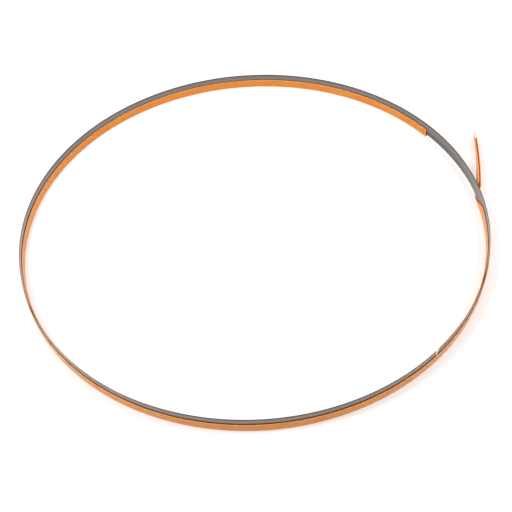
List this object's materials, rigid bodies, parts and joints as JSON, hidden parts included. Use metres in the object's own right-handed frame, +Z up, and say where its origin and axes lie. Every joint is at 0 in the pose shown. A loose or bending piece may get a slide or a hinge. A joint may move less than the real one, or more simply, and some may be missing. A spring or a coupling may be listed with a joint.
{
  "type": "band saw blade",
  "caption": "Welded loop of band saw blade lying back edge up, its teeth in an orange plastic guard strip whose end is pulled off and stands outside the loop.",
  "frame": {"origin": "centre of the loop, on the surface that it lies on", "axes": "+Z up, from the teeth to the back edge; +X towards the side where the guard's loose end leaves the loop"},
  "size_m": [0.9209, 0.8804, 0.0305],
  "materials": {
    "saw_steel": "rolled and ground grey steel",
    "orange_plastic": "extruded satin plastic"
  },
  "bodies": {
    "root": {"blade": "saw_steel", "tooth_guard": "orange_plastic"}
  },
  "joints": []
}
